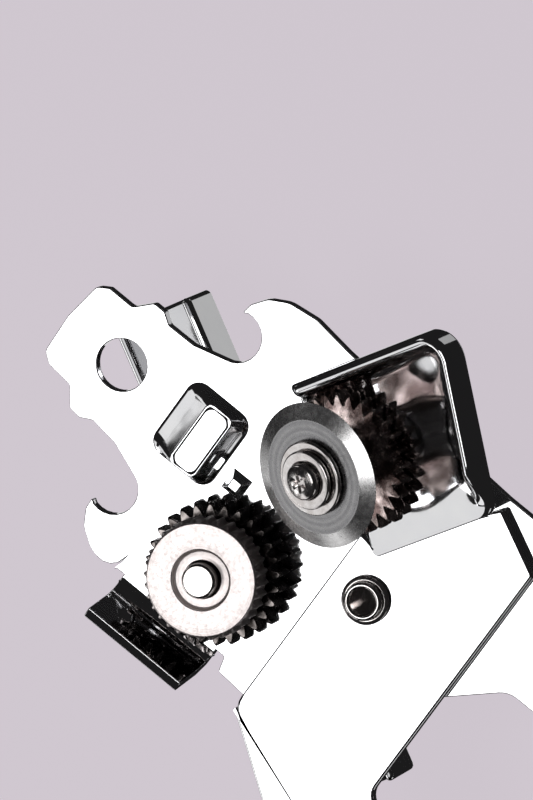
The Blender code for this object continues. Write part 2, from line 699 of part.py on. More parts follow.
def front_flat_outline():
    """The flat sheet: a cross band through the pivot, and the arm that leaves it at its left end."""
    half = ARM_W / 2
    upper_left = arm_point(-3.0 * MM, -half)
    inner = arm_point(ARM_INNER, half)
    end_left = arm_point(ARM_L, -half)
    end_right = arm_point(ARM_L, half)
    corners = [
        (WALL_LEFT[0], BAND_TOP, 0),
        (*WALL_LEFT, 0),
        (*WALL_RIGHT, 0),
        (BAND_RIGHT, BAND_BOTTOM, 0.8 * MM),
        (inner.x, BAND_BOTTOM, 2.5 * MM),
        (end_right.x, end_right.y, 3 * MM),
        (end_left.x, end_left.y, 3 * MM),
        (upper_left.x, upper_left.y, 4 * MM),
        (BAND_LEFT, BAND_TOP, 3 * MM),
    ]
    return rounded(corners)


def front_rivet_places():
    return [arm_point(along, aside) for along, aside in FRONT_RIVETS]


# ---- cutter ----

def cutter_wheel():
    edge = 0.04 * MM
    wheel = turned("cutter_wheel", [
        (AXLE_R + GAP, CUTTER_FACE), (CUTTER_R - CUTTER_BEVEL_W, CUTTER_FACE), (CUTTER_R, edge),
        (CUTTER_R, -edge), (CUTTER_R - CUTTER_BACK_W, CUTTER_BACK), (AXLE_R + GAP, CUTTER_BACK)], 48)
    place(wheel, mat=CUTTER_STEEL, parent=cutter_axis)


def cutter_gear():
    outline = spun(toothed(GEAR_TEETH, GEAR_TIP_R, GEAR_TOOTH, 0.8), math.pi / GEAR_TEETH)
    gear = sheet("cutter_gear", outline, CUTTER_GEAR_LOW, CUTTER_GEAR_TOP)
    place(gear, mat=GEAR_STEEL, parent=cutter_axis)
    cut(gear, disc("cutter_gear_bore", AXLE_R + GAP, CUTTER_GEAR_LOW - MM, CUTTER_GEAR_TOP + MM))


def spacer_sleeve():
    sleeve = ring("spacer_sleeve", AXLE_R + GAP, AXLE_R + GAP + SLEEVE_WALL,
                  CUTTER_GEAR_TOP + GAP, CUTTER_BACK - GAP)
    place(sleeve, mat=BRIGHT_STEEL, parent=cutter_axis)


def hub_flange():
    flange = ring("hub_flange", AXLE_R + GAP, HUB_FLANGE_R, FLANGE_LOW, FLANGE_LOW + HUB_DISC_T)
    place(flange, mat=BRIGHT_STEEL, parent=cutter_axis)


def hub_cap():
    cap = ring("hub_cap", AXLE_R + GAP, HUB_CAP_R, CAP_LOW, CAP_LOW + HUB_DISC_T)
    place(cap, mat=BRIGHT_STEEL, parent=cutter_axis)


def cutter_axle():
    top = CAP_LOW + HUB_DISC_T
    head = TRAY_FLOOR - SHEET - GAP
    axle = turned("cutter_axle", [
        (0, top), (AXLE_R, top), (AXLE_R, head), (AXLE_HEAD_R, head),
        (AXLE_HEAD_R, head - AXLE_HEAD_T), (0, head - AXLE_HEAD_T)])
    place(axle, mat=BRIGHT_STEEL, parent=cutter_axis)


def cap_screw():
    top = SCREW_LOW + SCREW_T
    screw = turned("cap_screw", [
        (0, top), (SCREW_R - SCREW_DOME, top), (SCREW_R, SCREW_LOW + SCREW_T - SCREW_DOME),
        (SCREW_R, SCREW_LOW), (0, SCREW_LOW)], 24)
    place(screw, mat=BRIGHT_STEEL, parent=cutter_axis)
    half = SCREW_SLOT / 2
    arm = SCREW_R * 0.6
    for name, x, y in (("screw_slot_a", arm, half), ("screw_slot_b", half, arm)):
        cut(screw, box(name, (-x, -y, top - SCREW_SLOT), (x, y, top + MM)))


# ---- handles ----

def handle(prefix, place_frame, plate_back, parent, rivet_spots):
    """A folded channel behind a plate, its grip and its rivets; its frame's X runs along the handle."""
    half = HANDLE_W / 2
    top = plate_back - GAP
    low = top - HANDLE_D
    channel = sheet(f"{prefix}_handle", rounded([(0, -half, 2 * MM), (HANDLE_L, -half, 3 * MM),
                                                 (HANDLE_L, half, 3 * MM), (0, half, 2 * MM)], 3), low, top)
    channel.matrix_basis = place_frame
    place(channel, mat=CHROME, parent=parent)
    inner = half - CHANNEL_SHEET
    hollow = box(f"{prefix}_hollow", (-MM, -inner, low - MM),
                 (HANDLE_L - CHANNEL_SHEET, inner, top - CHANNEL_SHEET))
    hollow.matrix_basis = place_frame
    cut(channel, hollow)
    for i, spot in enumerate(rivet_spots):
        seat = moved(disc(f"{prefix}_channel_hole_{i}", RIVET_R + GAP, top - 2 * CHANNEL_SHEET, top + MM),
                     spot[0], spot[1])
        cut(channel, seat)
    grip(prefix, place_frame, low, plate_back, parent)
    handle_rivets(prefix, rivet_spots, plate_back, parent)


def grip(prefix, place_frame, low, plate_back, parent):
    """A moulded sleeve, closed at its far end, over the channel and the end of the plate."""
    half = HANDLE_W / 2 + GAP + GRIP_WALL
    bottom = low - GAP - GRIP_WALL
    top = plate_back + GRIP_WALL
    end = HANDLE_L + GAP + GRIP_END
    outline = rounded([(GRIP_START, -half, 3 * MM), (end, -half, 9 * MM), (end, half, 9 * MM),
                       (GRIP_START, half, 3 * MM)], 5)
    sleeve = sheet(f"{prefix}_grip", outline, bottom, top)
    sleeve.matrix_basis = place_frame
    place(sleeve, mat=GRIP_PLASTIC, parent=parent)
    inner = HANDLE_W / 2 + GAP
    pocket = box(f"{prefix}_pocket", (GRIP_START - MM, -inner, low - GAP),
                 (HANDLE_L + GAP, inner, plate_back))
    pocket.matrix_basis = place_frame
    cut(sleeve, pocket)


def handle_rivets(prefix, spots, plate_back, parent):
    """Round-headed rivets through plate and channel."""
    front = plate_back + SHEET + GAP
    back = plate_back - GAP - CHANNEL_SHEET - GAP
    for number, (x, y) in enumerate(spots, 1):
        rivet = turned(f"{prefix}_handle_rivet_{number}", [
            (0, front + RIVET_HEAD_T), (RIVET_HEAD_R * 0.6, front + RIVET_HEAD_T * 0.85),
            (RIVET_HEAD_R, front), (RIVET_R, front), (RIVET_R, back), (RIVET_HEAD_R, back),
            (RIVET_HEAD_R * 0.7, back - RIVET_HEAD_T), (0, back - RIVET_HEAD_T)], 20)
        place(moved(rivet, x, y), mat=BRIGHT_STEEL, parent=parent)


def rear_handle():
    middle = (TANG_LEFT + TANG_RIGHT) / 2
    frame = Matrix.Translation((middle, REAR_HANDLE_Y, 0)) @ Matrix.Rotation(math.radians(-90), 4, "Z")
    handle("rear", frame, REAR_BACK, drive_axis, rear_rivet_places())


def front_handle():
    root = arm_point(FRONT_HANDLE_START, 0)
    frame = Matrix.Translation(root) @ Matrix.Rotation(ARM_ANGLE, 4, "Z")
    spots = [(p.x, p.y) for p in front_rivet_places()]
    handle("front", frame, FRONT_BACK, pivot_axis, spots)


def smooth_round_pieces():
    for obj in PARTS.objects:
        if obj.type == "MESH":
            obj.data.shade_smooth()
            obj.data.set_sharp_from_angle(angle=math.radians(35))


rear_plate()
shaft_bush()
drive_shaft()
drive_gear()
spacer_washer()
feed_wheel()
thrust_washer()
crank_collar()
crank_key()
pivot_rivet()
pivot_washer()
front_plate()
cutter_wheel()
cutter_gear()
spacer_sleeve()
hub_flange()
hub_cap()
cutter_axle()
cap_screw()
rear_handle()
front_handle()
smooth_round_pieces()
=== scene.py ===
"""The looks of the manual can opener: its finished meshes, materials, camera, floor and studio light.

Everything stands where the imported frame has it. Turned pieces, gears and the tray are lofted anew from
the frame's own radii and heights; folded and stamped pieces keep the frame's shape with rounded edges.
"""

import json
import math

import bmesh
import bpy
from mathutils import Matrix, Vector

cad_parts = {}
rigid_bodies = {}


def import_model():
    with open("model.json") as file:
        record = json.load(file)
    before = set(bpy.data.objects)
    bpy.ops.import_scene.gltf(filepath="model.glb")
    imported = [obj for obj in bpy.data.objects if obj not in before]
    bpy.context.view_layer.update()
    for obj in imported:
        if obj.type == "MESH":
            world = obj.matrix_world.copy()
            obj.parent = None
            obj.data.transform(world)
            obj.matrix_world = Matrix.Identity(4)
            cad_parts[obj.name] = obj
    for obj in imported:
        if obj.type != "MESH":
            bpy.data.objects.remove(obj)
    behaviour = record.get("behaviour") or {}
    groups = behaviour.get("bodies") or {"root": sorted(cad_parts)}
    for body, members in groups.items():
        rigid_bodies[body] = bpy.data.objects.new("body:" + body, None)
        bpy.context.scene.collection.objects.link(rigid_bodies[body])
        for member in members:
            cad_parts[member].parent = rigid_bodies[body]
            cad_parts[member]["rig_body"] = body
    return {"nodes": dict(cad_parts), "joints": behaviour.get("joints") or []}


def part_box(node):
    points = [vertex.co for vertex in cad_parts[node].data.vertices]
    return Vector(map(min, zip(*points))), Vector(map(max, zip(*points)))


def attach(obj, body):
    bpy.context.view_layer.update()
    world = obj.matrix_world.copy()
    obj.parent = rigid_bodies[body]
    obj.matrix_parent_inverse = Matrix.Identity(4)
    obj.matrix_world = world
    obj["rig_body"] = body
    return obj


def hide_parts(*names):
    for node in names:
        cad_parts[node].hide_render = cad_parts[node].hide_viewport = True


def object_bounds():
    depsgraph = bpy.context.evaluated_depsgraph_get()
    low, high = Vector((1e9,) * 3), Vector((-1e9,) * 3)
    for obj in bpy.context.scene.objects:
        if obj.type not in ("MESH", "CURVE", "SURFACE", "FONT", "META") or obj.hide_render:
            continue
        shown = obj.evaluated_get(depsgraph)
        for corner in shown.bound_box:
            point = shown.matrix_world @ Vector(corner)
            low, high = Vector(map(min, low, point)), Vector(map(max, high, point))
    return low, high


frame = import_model()
CAD_BOX = [list(corner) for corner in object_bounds()]
NODES = frame["nodes"]
MM = 0.001

# ---- camera ----
AIM = Vector((13.45, 29.93, 4.2)) * MM
VIEW_FROM = Vector((0.309, -0.165, 0.937)).normalized()
VIEW_UP = Vector((0.766, 0.622, -0.1435))
CAMERA_DISTANCE = 1500 * MM
FRAME_HEIGHT = 117.6 * MM         # height of what the camera sees at the drive shaft
SENSOR = 36

# ---- fineness ----
ROUND = 96                        # steps round a turned piece
LOBE = 12                         # steps round one gear tooth
SHARP = math.radians(50)          # edges sharper than this stay sharp
ROUNDED_FROM = math.radians(32)   # edges sharper than this are rounded
FLAT = math.radians(0.6)          # faces that meet flatter than this are one face
WELD = 0.001 * MM                 # points closer than this are one point

# ---- rounded edges ----
KEY_EDGE = 0.6 * MM
HANDLE_EDGE = 0.5 * MM
GRIP_EDGE = 0.9 * MM
BUSH_EDGE = 0.15 * MM
RIVET_EDGE = 0.3 * MM
FRONT_EDGE = 0.45 * MM
REAR_EDGE = 0.17 * MM             # less than the hook tips' corner radius, or the faces would cross
GUSSET_EDGE = 0.2 * MM
GEAR_EDGE = 0.5 * MM
RUNNING_GAP = 0.3 * MM            # between a shaft and its bore

# ---- tray of the front plate, in the cutter's axes, as in the frame ----
SHEET = 1.8 * MM
TRAY_RIM = 2.4 * MM
TRAY_RIM_W = 2.2 * MM
TRAY_LEFT = -6.6 * MM
TRAY_RIGHT = 27.5 * MM
TRAY_BOTTOM = -14.6 * MM
TRAY_TAPER = 7.0 * MM
TRAY_CORNER_R = 4.4 * MM
TRAY_CLEARANCE = 0.4 * MM         # floor behind the cutter gear
TRAY_GEAR_GAP = 0.5 * MM          # from the cutter gear's tips to the upper rim
BOWL_TOP = 2.4 * MM               # reach of the hollow between rim and floor, at the top and at the right
BOWL_RIGHT = 11.0 * MM
BOWL_CORNER_R = 4.0 * MM
TRAY_FADE = 6.0 * MM              # the rim dies away over this height at the lower side
TRAY_SIDE_SHARE = 0.25            # how far the left and lower sides follow an inset of the outline
BOWL_STEPS = 16
BEAD_STEPS = 14
WALL_INSET = 0.2 * MM
GUSSET_LEAN = Vector((0.33, -0.176, 1.0))

# ---- gears, as in the frame ----
GEAR_TEETH = 28
GEAR_TOOTH = 1.7 * MM
WHEEL_TEETH = 32
WHEEL_TOOTH = 0.8 * MM

# ---- boss of the rear plate, from the drive shaft ----
BOSS_BEYOND_GEAR = 9.55 * MM
BOSS_ANGLE = math.radians(46.4)
BOSS_SIZE = (12.6 * MM, 11.0 * MM)
BOSS_TOP = (10.6 * MM, 4.2 * MM)
BOSS_TOP_SHIFT = -1.1 * MM
BOSS_H = 2.75 * MM
BOSS_SHARES = (0, 0.04, 0.12, 0.3, 0.5, 0.7, 0.86, 0.96, 1)   # heights of its rings
BOSS_ROOT = 0.5 * MM              # how deep it stands in the plate
BOSS_CORNER_R = (2.4 * MM, 1.4 * MM)
BOSS_FLARE = 0.25 * MM            # fillet at its foot, over the lowest part of its height
BOSS_FLARE_SHARE = 0.12
BOSS_CROWN = (0.93, 0.86)         # the crown against the ridge, along and across


# ---- outlines ----

def arc(cx, cy, radius, start, end, steps):
    """Points of an arc, from one angle in degrees to another."""
    points = []
    for i in range(steps + 1):
        a = math.radians(start + (end - start) * i / steps)
        points.append((cx + radius * math.cos(a), cy + radius * math.sin(a)))
    return points


def rounded(corners, steps=6):
    """Turns (x, y, radius) corners into a closed outline with round corners."""
    outline = []
    count = len(corners)
    for i, (x, y, radius) in enumerate(corners):
        here = Vector((x, y))
        before = (Vector(corners[i - 1][:2]) - here).normalized()
        after = (Vector(corners[(i + 1) % count][:2]) - here).normalized()
        half = before.angle(after) / 2
        if radius <= 0 or half > 1.56:
            outline.append(here)
            continue
        setback = radius / math.tan(half)
        middle = here + (before + after).normalized() * (radius / math.sin(half))
        first = here + before * setback - middle
        last = here + after * setback - middle
        turn = first.angle_signed(last)
        for k in range(steps + 1):
            outline.append(middle + Matrix.Rotation(-turn * k / steps, 2) @ first)
    return outline


def circle(radius, level, steps=ROUND):
    turn = 2 * math.pi / steps
    return [Vector((radius * math.cos(i * turn), radius * math.sin(i * turn), level)) for i in range(steps)]


def smooth(value):
    t = min(max(value, 0), 1)
    return t * t * (3 - 2 * t)


# ---- meshes ----

def new_piece(name, soup, place=None):
    """A smooth-shaded object from a bmesh, standing at its own axis."""
    bmesh.ops.recalc_face_normals(soup, faces=soup.faces)
    mesh = bpy.data.meshes.new(name)
    soup.to_mesh(mesh)
    soup.free()
    piece = bpy.data.objects.new(name, mesh)
    bpy.context.scene.collection.objects.link(piece)
    if place:
        piece.matrix_world = place
    return piece


def loft(name, rings, place=None, looped=False):
    """A closed skin over rings of equally many points; its ends are capped, or joined when looped."""
    soup = bmesh.new()
    rows = [[soup.verts.new(point) for point in ring] for ring in rings]
    pairs = list(zip(rows, rows[1:]))
    if looped:
        pairs.append((rows[-1], rows[0]))
    for low, high in pairs:
        for i in range(len(low)):
            soup.faces.new((low[i - 1], low[i], high[i], high[i - 1]))
    if not looped:
        soup.faces.new(rows[0][::-1])
        soup.faces.new(rows[-1])
    return new_piece(name, soup, place)


def turned(name, corners, place, looped=True, steps=ROUND):
    """A turned piece from the (radius, height, rounding) corners of its section."""
    if not looped:
        corners = [(0, corners[0][1], 0)] + corners + [(0, corners[-1][1], 0)]
    rings = [circle(x, y, steps) for x, y in rounded(corners, 5) if x > 0]
    return loft(name, rings, place, looped)


def applied(piece):
    """The piece with its modifiers made part of its mesh."""
    bpy.context.view_layer.update()
    depsgraph = bpy.context.evaluated_depsgraph_get()
    mesh = bpy.data.meshes.new_from_object(piece.evaluated_get(depsgraph))
    piece.modifiers.clear()
    piece.data = mesh
    return piece


def merged(piece, tool, operation="UNION"):
    """Joins the tool to the piece, or cuts it away, and removes the tool."""
    step = piece.modifiers.new("merge", "BOOLEAN")
    step.operation = operation
    step.solver = "EXACT"
    step.object = tool
    applied(piece)
    bpy.data.objects.remove(tool, do_unlink=True)
    return piece


def edged(piece, width, segments=3):
    """Rounds the piece's sharp edges."""
    bevel = piece.modifiers.new("round_edges", "BEVEL")
    bevel.width = width
    bevel.segments = segments
    bevel.limit_method = "ANGLE"
    bevel.angle_limit = ROUNDED_FROM
    bevel.use_clamp_overlap = False
    return piece


def formed(node, width, segments=3):
    """A piece in the shape of a frame node, its flats made whole and its edges rounded."""
    soup = bmesh.new()
    soup.from_mesh(NODES[node].data)
    bmesh.ops.remove_doubles(soup, verts=soup.verts, dist=WELD)
    bmesh.ops.dissolve_limit(soup, angle_limit=FLAT, verts=soup.verts, edges=soup.edges)
    return edged(new_piece(node + "_form", soup), width, segments)


def finished(piece, node, look):
    """Puts the piece on its node's body in its node's stead and material."""
    piece.data.materials.clear()
    piece.data.materials.append(look["material"])
    piece.data.shade_smooth()
    piece.data.set_sharp_from_angle(angle=SHARP)
    weights = piece.modifiers.new("flat_faces", "WEIGHTED_NORMAL")
    weights.keep_sharp = True
    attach(piece, NODES[node]["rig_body"])
    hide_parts(node)
    return piece


# ---- places and sizes from the frame ----

def joint_place(name):
    """The joint's axis as a place: Z along it, X uphill for a leaning axis."""
    joint = next(j for j in frame["joints"] if j["name"] == name)
    origin = Vector(joint["pos_m"])
    z = Vector(joint["axis"]).normalized()
    if z.z > 0.999:
        return Matrix.Translation(origin)
    y = z.cross(Vector((0, 0, 1))).normalized()
    x = y.cross(z)
    turn = Matrix((x, y, z)).transposed().to_4x4()
    return Matrix.Translation(origin) @ turn


PIVOT = joint_place("front_swing")
DRIVE = joint_place("crank_turn")
CUTTER = joint_place("cutter_turn")


def measure(node, place):
    """Inner radius, outer radius, low end and high end of a node round an axis."""
    back = place.inverted()
    points = [back @ vertex.co for vertex in NODES[node].data.vertices]
    reach = [math.hypot(p.x, p.y) for p in points]
    heights = [p.z for p in points]
    return min(reach), max(reach), min(heights), max(heights)


# ---- procedural materials ----

class Look:
    """A node material whose pattern is read in the piece's own coordinates."""

    def __init__(self, name, colour, roughness, metallic=1.0):
        self.material = bpy.data.materials.new(name)
        self.material.use_nodes = True
        self.tree = self.material.node_tree
        self.shader = self.tree.nodes["Principled BSDF"]
        self.shader.inputs["Base Color"].default_value = (*colour, 1)
        self.shader.inputs["Roughness"].default_value = roughness
        self.shader.inputs["Metallic"].default_value = metallic
        self.where = self.node("ShaderNodeTexCoord").outputs["Object"]

    def node(self, kind, **values):
        made = self.tree.nodes.new(kind)
        for key, value in values.items():
            setattr(made, key, value)
        return made

    def join(self, source, target):
        self.tree.links.new(source, target)

    def stretched(self, scale):
        mapping = self.node("ShaderNodeMapping")
        mapping.inputs["Scale"].default_value = scale
        self.join(self.where, mapping.inputs["Vector"])
        return mapping.outputs["Vector"]

    def noise(self, size, detail=3.0, stretch=None):
        """Cloudy noise with features of about this size in metres."""
        made = self.node("ShaderNodeTexNoise")
        made.inputs["Scale"].default_value = 1 / size
        made.inputs["Detail"].default_value = detail
        self.join(self.stretched(stretch) if stretch else self.where, made.inputs["Vector"])
        return made.outputs["Fac"]

    def rings(self, pitch, detail=2.0):
        """Turning marks round the piece's axis."""
        flat = self.node("ShaderNodeVectorMath", operation="MULTIPLY")
        flat.inputs[1].default_value = (1, 1, 0)
        self.join(self.where, flat.inputs[0])
        reach = self.node("ShaderNodeVectorMath", operation="LENGTH")
        self.join(flat.outputs["Vector"], reach.inputs[0])
        made = self.node("ShaderNodeTexNoise", noise_dimensions="1D")
        made.inputs["Scale"].default_value = 1 / pitch
        made.inputs["Detail"].default_value = detail
        self.join(reach.outputs["Value"], made.inputs["W"])
        return made.outputs["Fac"]

    def between(self, source, low, high, start=0.3, end=0.7):
        """The pattern spread from one value to another."""
        made = self.node("ShaderNodeMapRange")
        made.inputs["From Min"].default_value = start
        made.inputs["From Max"].default_value = end
        made.inputs["To Min"].default_value = low
        made.inputs["To Max"].default_value = high
        self.join(source, made.inputs["Value"])
        return made.outputs["Result"]

    def tint(self, source, dark, light, start=0.3, end=0.7):
        ramp = self.node("ShaderNodeValToRGB")
        ramp.color_ramp.elements[0].position = start
        ramp.color_ramp.elements[1].position = end
        ramp.color_ramp.elements[0].color = (*dark, 1)
        ramp.color_ramp.elements[1].color = (*light, 1)
        self.join(source, ramp.inputs["Fac"])
        self.join(ramp.outputs["Color"], self.shader.inputs["Base Color"])

    def rough(self, source, low, high):
        self.join(self.between(source, low, high), self.shader.inputs["Roughness"])

    def bump(self, source, height, strength=1.0):
        made = self.node("ShaderNodeBump")
        made.inputs["Distance"].default_value = height
        made.inputs["Strength"].default_value = strength
        self.join(source, made.inputs["Height"])
        self.join(made.outputs["Normal"], self.shader.inputs["Normal"])


def chrome():
    """Polished chrome over stamped sheet: a faint pull in the sheet and smudged patches."""
    look = Look("chrome", (0.93, 0.93, 0.94), 0.05)
    look.tint(look.noise(6 * MM), (0.90, 0.90, 0.92), (0.95, 0.95, 0.955))
    look.rough(look.noise(2.5 * MM, 5), 0.035, 0.09)
    look.bump(look.noise(5 * MM, 1), 0.02 * MM, 0.5)
    return look.material


def bright_steel():
    """Small turned pieces: bright, with fine turning marks."""
    look = Look("bright_steel", (0.80, 0.78, 0.77), 0.15)
    look.tint(look.noise(1.2 * MM), (0.76, 0.71, 0.69), (0.93, 0.90, 0.89))
    look.rough(look.noise(0.8 * MM), 0.10, 0.22)
    look.bump(look.rings(0.12 * MM), 0.004 * MM)
    return look.material


def wheel_steel():
    """Sintered feed wheel: satin, warm white, with soft turning marks on its face."""
    look = Look("wheel_steel", (0.74, 0.68, 0.66), 0.34)
    look.tint(look.noise(3.0 * MM, 2), (0.71, 0.645, 0.63), (0.77, 0.71, 0.695))
    look.rough(look.noise(0.5 * MM), 0.28, 0.38)
    look.bump(look.rings(0.22 * MM), 0.006 * MM)
    return look.material


def gear_steel(name, dark, light):
    """Hardened gears with an oily film that browns and clears in patches; the copies made below are this one
    steel made darker or lighter as painted shade and painted light.
    """
    look = Look(name, light, 0.2)
    look.tint(look.noise(2.2 * MM, 3), dark, light, 0.4, 0.68)
    look.rough(look.noise(0.9 * MM), 0.12, 0.30)
    look.bump(look.noise(1.1 * MM, 2), 0.05 * MM, 0.5)
    return look.material


def cutter_steel():
    """Ground cutter: grey, with close concentric grinding lines."""
    look = Look("cutter_steel", (0.34, 0.34, 0.35), 0.25)
    look.tint(look.rings(0.5 * MM, 2), (0.33, 0.325, 0.335), (0.43, 0.425, 0.43))
    look.rough(look.noise(0.6 * MM), 0.22, 0.32)
    look.bump(look.rings(0.12 * MM), 0.003 * MM)
    return look.material


def lit_bevel_steel():
    """The cutter's honed bevel, satin; its colour, far lighter than the face's steel, is a painted highlight.
    """
    look = Look("lit_bevel_steel", (0.9, 0.89, 0.89), 0.25)
    look.tint(look.rings(0.3 * MM, 2), (0.86, 0.845, 0.845), (0.94, 0.93, 0.93))
    look.rough(look.noise(0.8 * MM), 0.22, 0.30)
    look.bump(look.rings(0.15 * MM), 0.003 * MM)
    return look.material


def grip_plastic():
    """Moulded vinyl grip: near black, with a fine leathery grain."""
    look = Look("grip_plastic", (0.03, 0.03, 0.032), 0.5, 0.0)
    look.tint(look.noise(4 * MM), (0.024, 0.024, 0.026), (0.042, 0.042, 0.045))
    look.rough(look.noise(0.7 * MM), 0.42, 0.60)
    look.bump(look.noise(0.45 * MM, 4), 0.06 * MM, 0.7)
    return look.material


CHROME = {"slot": "chrome_plate", "material": chrome()}
BRIGHT = {"slot": "bright_steel", "material": bright_steel()}
WHEEL = {"slot": "wheel_steel", "material": wheel_steel()}
# One gear steel in two brightnesses: the darker copy paints shade on the drive gear, the lighter copy paints
# light on the cutter gear.
SHADED_GEAR = {"slot": "gear_steel",
        "material": gear_steel("gear_steel", (0.03, 0.026, 0.024), (0.30, 0.27, 0.26))}
LIT_GEAR = {"slot": "gear_steel",
             "material": gear_steel("lit_gear_steel", (0.12, 0.085, 0.078), (0.56, 0.47, 0.44))}
BLADE = {"slot": "cutter_steel", "material": cutter_steel()}
GRIP = {"slot": "grip_plastic", "material": grip_plastic()}


# ---- front plate: flat sheet, tray and the wall between them ----

def tray_floor():
    return measure("cutter_gear", CUTTER)[2] - TRAY_CLEARANCE


def tray_top():
    return measure("cutter_gear", CUTTER)[1] + TRAY_GEAR_GAP + TRAY_RIM_W


def tray_outline(inset, bowl):
    """The tray's outline drawn in; the bowl share widens it towards the floor at the top and right."""
    top = tray_top() - inset - bowl * BOWL_TOP
    right = TRAY_RIGHT - inset - bowl * BOWL_RIGHT
    left = TRAY_LEFT + TRAY_SIDE_SHARE * inset
    bottom = TRAY_BOTTOM + TRAY_SIDE_SHARE * inset
    radius = TRAY_CORNER_R - inset + bowl * BOWL_CORNER_R
    foot = right - TRAY_TAPER * (1 - 0.55 * bowl)
    return rounded([(left, top, 1.2 * MM), (left + 2 * MM, bottom, 0.8 * MM),
                    (foot, bottom, (2.5 - bowl) * MM), (right, top, radius)], 14)


def divided(outline, parts=24):
    """The outline with each long straight stretch cut into equal parts."""
    fine = []
    for here, after in zip(outline, outline[1:] + outline[:1]):
        count = parts if (after - here).length > 4 * MM else 1
        fine.extend(here.lerp(after, k / count) for k in range(count))
    return fine


def rim_share(x, y):
    """How much of the rim stands at a place of the tray's outline: all of it on top and on the right."""
    rise = smooth((y - TRAY_BOTTOM - 1 * MM) / TRAY_FADE)
    start = smooth((x - TRAY_LEFT) / (1.5 * MM))
    return rise * start


def tray_section():
    """(inset, bowl share, height over the floor) from the back, over the round rim, to the floor."""
    bead = TRAY_RIM_W / 2
    foot = TRAY_RIM - bead
    section = [(0.5 * MM, 0, -SHEET), (0.15 * MM, 0, -SHEET + 0.15 * MM), (0, 0, -SHEET + 0.5 * MM)]
    section += [(x, 0, y) for x, y in arc(bead, foot, bead, 180, 0, BEAD_STEPS)]
    for i in range(1, BOWL_STEPS + 1):
        a = math.pi / 2 * i / BOWL_STEPS
        section.append((TRAY_RIM_W, 1 - math.cos(a), foot * (1 - math.sin(a))))
    return section


def tray():
    shares = [rim_share(spot.x, spot.y) for spot in divided(tray_outline(0, 0))]
    floor = tray_floor()
    rings = []
    for inset, bowl, height in tray_section():
        ring = []
        for spot, share in zip(divided(tray_outline(inset, bowl)), shares):
            edge = (1 - share) * min(0, inset - 0.6 * MM) * 0.5
            level = height * share + edge if height > 0 else height
            ring.append((spot.x, spot.y, floor + level))
        rings.append(ring)
    return loft("front_plate_form", rings, CUTTER)


def gusset():
    """The wall under the tray's lower side, down into the flat sheet."""
    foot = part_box("front_plate")[0].z + SHEET / 2
    outer = TRAY_BOTTOM + WALL_INSET
    soup = bmesh.new()
    ends = ((TRAY_LEFT + TRAY_RIM_W, Vector((0, 0, 1))), (TRAY_RIGHT - TRAY_TAPER - MM, GUSSET_LEAN))
    for x, lean in ends:
        for y in (outer, outer + SHEET):
            top = CUTTER @ Vector((x, y, tray_floor() - SHEET / 2))
            soup.verts.new(top)
            soup.verts.new(top - lean * (top.z - foot))
    bmesh.ops.convex_hull(soup, input=soup.verts)
    return applied(edged(new_piece("gusset", soup), GUSSET_EDGE))


def flat_sheet():
    """The lower face of the frame's front plate, filled anew and given the sheet's thickness."""
    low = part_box("front_plate")[0].z
    soup = bmesh.new()
    soup.from_mesh(NODES["front_plate"].data)
    bmesh.ops.remove_doubles(soup, verts=soup.verts, dist=WELD)
    others = [face for face in soup.faces if max(v.co.z for v in face.verts) > low + 10 * WELD]
    bmesh.ops.delete(soup, geom=others, context="FACES")
    inner = [edge for edge in soup.edges if not edge.is_boundary]
    bmesh.ops.delete(soup, geom=inner, context="EDGES")
    bmesh.ops.delete(soup, geom=soup.faces[:], context="FACES_ONLY")
    bmesh.ops.triangle_fill(soup, use_beauty=True, use_dissolve=False,
                            edges=soup.edges[:], normal=(0, 0, 1))
    bmesh.ops.dissolve_limit(soup, angle_limit=FLAT, verts=soup.verts, edges=soup.edges)
    made = bmesh.ops.extrude_face_region(soup, geom=soup.faces[:])
    for vertex in (item for item in made["geom"] if isinstance(item, bmesh.types.BMVert)):
        vertex.co.z += SHEET
    return applied(edged(new_piece("flat_sheet", soup), FRONT_EDGE, 5))


def front_plate():
    piece = tray()
    inner = measure("cutter_gear", CUTTER)[0]
    floor = tray_floor()
    bore = loft("bore", [circle(inner, floor - 2 * SHEET), circle(inner, floor + SHEET)], CUTTER)
    merged(piece, bore, "DIFFERENCE")
    piece.data.transform(CUTTER)
    piece.matrix_world = Matrix.Identity(4)
    merged(piece, gusset())
    merged(piece, flat_sheet())
    finished(piece, "front_plate", CHROME)


# ---- rear plate and its boss ----

def boss():
    """The can-rim rest, a smooth pillow from a rounded base to a narrow ridge."""
    top = plate_face()
    reach = measure("drive_gear", DRIVE)[1] + BOSS_BEYOND_GEAR
    middle = DRIVE @ Vector((reach * math.cos(BOSS_ANGLE), reach * math.sin(BOSS_ANGLE), 0))
    rings = []
    for level, share in [(-BOSS_ROOT, -0.04)] + [(BOSS_H * share, share) for share in BOSS_SHARES]:
        swell = max(share, 0)
        width = BOSS_SIZE[0] + (BOSS_TOP[0] - BOSS_SIZE[0]) * swell
        depth = BOSS_SIZE[1] + (BOSS_TOP[1] - BOSS_SIZE[1]) * swell
        radius = BOSS_CORNER_R[0] + (BOSS_CORNER_R[1] - BOSS_CORNER_R[0]) * swell
        shift = BOSS_TOP_SHIFT * swell
        flare = BOSS_FLARE * max(0, 1 - share / BOSS_FLARE_SHARE) ** 2
        x, y = width / 2 + flare, depth / 2 + flare
        outline = rounded([(x, y, radius), (-x, y, radius), (-x, -y, radius), (x, -y, radius)], 8)
        rings.append([(middle.x + p.x, middle.y + shift + p.y, top + level) for p in outline])
    ridge = rings.pop()
    centre = (middle.x, middle.y + BOSS_TOP_SHIFT)
    rings.append([(x, y, z - 0.08 * MM) for x, y, z in ridge])
    rings.append([(centre[0] + (x - centre[0]) * BOSS_CROWN[0], centre[1] + (y - centre[1]) * BOSS_CROWN[1],
                   z + 0.05 * MM) for x, y, z in ridge])
    return loft("boss", rings)


